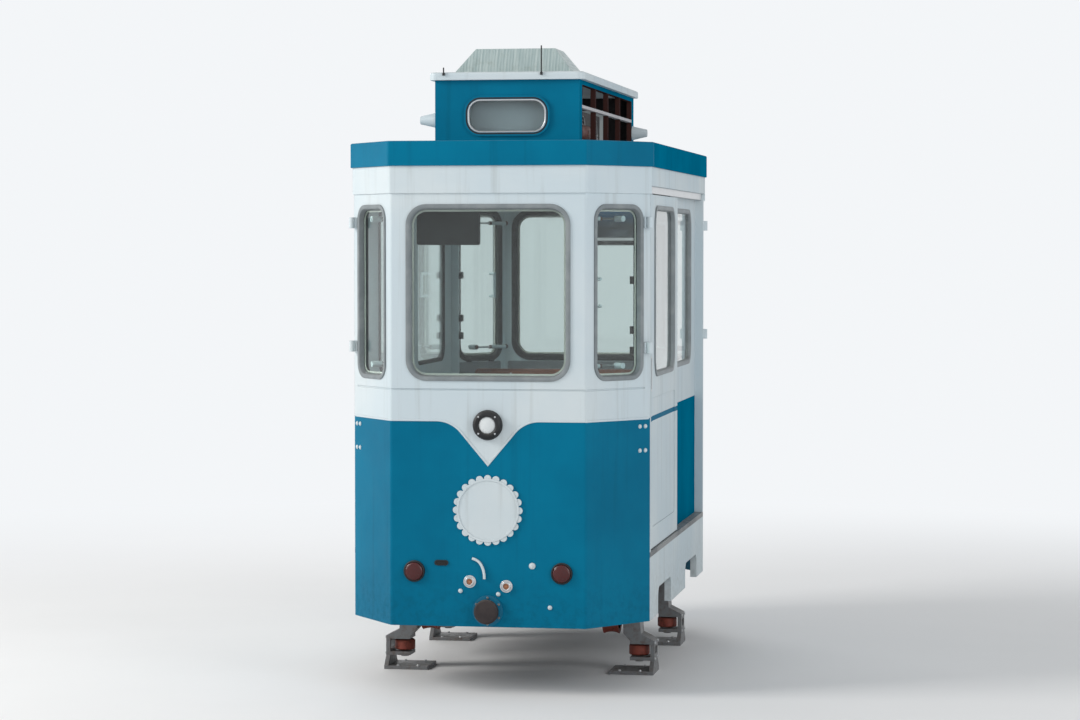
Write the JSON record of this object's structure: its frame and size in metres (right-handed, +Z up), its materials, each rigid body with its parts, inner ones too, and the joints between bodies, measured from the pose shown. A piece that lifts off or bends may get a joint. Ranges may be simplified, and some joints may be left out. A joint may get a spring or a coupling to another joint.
{
  "type": "tourist rail capsule",
  "caption": "Small self-propelled tourist rail car with a tram-style shell, sliding side doors, slatted benches and swivelling bogies that reach round twin tube rails.",
  "frame": {"origin": "middle of the car at the surface that it stands on, under the wheel carriers", "axes": "+X across the car, towards the side whose door stands next to the -Y end; +Y along the rails; +Z up"},
  "size_m": [1.7414, 3.58, 3.635],
  "materials": {
    "blue_paint": "gloss",
    "white_paint": "gloss",
    "black_rubber": "matte",
    "clear_glass": "polished",
    "bright_steel": "brushed",
    "floor_grey": "matte",
    "dark_steel": "satin",
    "pale_cover": "satin",
    "lamp_white": "gloss",
    "lamp_red": "gloss",
    "plate_white": "gloss",
    "dark_wood": "oiled",
    "felt_grey": "felt",
    "black_plastic": "matte",
    "grey_steel": "satin",
    "wheel_tread": "matte"
  },
  "bodies": {
    "car": {"front_apron": "blue_paint", "rear_apron": "blue_paint", "front_mask": "white_paint", "rear_mask": "white_paint", "window_seals": "black_rubber", "end_panes": "clear_glass", "corner_panes": "clear_glass", "side_panes": "clear_glass", "side_panels": "blue_paint", "side_frames": "white_paint", "side_skirts": "white_paint", "door_tracks": "bright_steel", "floor_pan": "floor_grey", "roof_band": "blue_paint", "roof_pan": "white_paint", "clerestory": "blue_paint", "sign_panes": "clear_glass", "roof_unit": "dark_steel", "roof_plate": "white_paint", "roof_cover": "pale_cover", "headlights": "lamp_white", "tail_lamps": "lamp_red", "round_plates": "plate_white", "buffers": "black_rubber", "corner_hinges": "white_paint", "bench_planks": "dark_wood", "bench_brackets": "dark_steel", "end_shelves": "blue_paint", "header_consoles": "felt_grey", "screens": "black_plastic", "underframe": "dark_steel", "apron_fittings": "white_paint", "roof_horns": "white_paint", "corner_window_gear": "bright_steel"},
    "right_door": {"right_door_leaf": "white_paint", "right_door_seal": "black_rubber", "right_door_pane": "clear_glass"},
    "left_door": {"left_door_leaf": "white_paint", "left_door_seal": "black_rubber", "left_door_pane": "clear_glass"},
    "front_bogie": {"front_bogie": "grey_steel"},
    "rear_bogie": {"rear_bogie": "grey_steel", "traction_motor": "grey_steel"},
    "front_wheelset": {"front_wheelset": "wheel_tread"},
    "rear_wheelset": {"rear_wheelset": "wheel_tread"},
    "front_right_guide_wheel": {"front_right_guide_wheel": "wheel_tread"},
    "front_left_guide_wheel": {"front_left_guide_wheel": "wheel_tread"},
    "rear_right_guide_wheel": {"rear_right_guide_wheel": "wheel_tread"},
    "rear_left_guide_wheel": {"rear_left_guide_wheel": "wheel_tread"}
  },
  "joints": [
    {"name": "right_door_slide", "type": "slide", "parent": "car", "child": "right_door", "axis": [0, 1, 0], "range_m": [0, 1.24]},
    {"name": "left_door_slide", "type": "slide", "parent": "car", "child": "left_door", "axis": [0, -1, 0], "range_m": [0, 1.24]},
    {"name": "front_bogie_swivel", "type": "hinge", "parent": "car", "child": "front_bogie", "pos_m": [0, -0.65, 0.53], "axis": [0, 0, 1], "range_deg": [-6, 6]},
    {"name": "front_wheelset_spin", "type": "hinge", "parent": "front_bogie", "child": "front_wheelset", "pos_m": [0, -0.65, 0.35], "axis": [1, 0, 0], "continuous": true},
    {"name": "front_right_guide_spin", "type": "hinge", "parent": "front_bogie", "child": "front_right_guide_wheel", "pos_m": [0.701, -0.65, 0.135], "axis": [0, 0, 1], "continuous": true},
    {"name": "front_left_guide_spin", "type": "hinge", "parent": "front_bogie", "child": "front_left_guide_wheel", "pos_m": [-0.701, -0.65, 0.135], "axis": [0, 0, 1], "continuous": true},
    {"name": "rear_bogie_swivel", "type": "hinge", "parent": "car", "child": "rear_bogie", "pos_m": [0, 0.65, 0.53], "axis": [0, 0, 1], "range_deg": [-6, 6]},
    {"name": "rear_wheelset_spin", "type": "hinge", "parent": "rear_bogie", "child": "rear_wheelset", "pos_m": [0, 0.65, 0.35], "axis": [1, 0, 0], "continuous": true},
    {"name": "rear_right_guide_spin", "type": "hinge", "parent": "rear_bogie", "child": "rear_right_guide_wheel", "pos_m": [0.701, 0.65, 0.135], "axis": [0, 0, 1], "continuous": true},
    {"name": "rear_left_guide_spin", "type": "hinge", "parent": "rear_bogie", "child": "rear_left_guide_wheel", "pos_m": [-0.701, 0.65, 0.135], "axis": [0, 0, 1], "continuous": true}
  ]
}
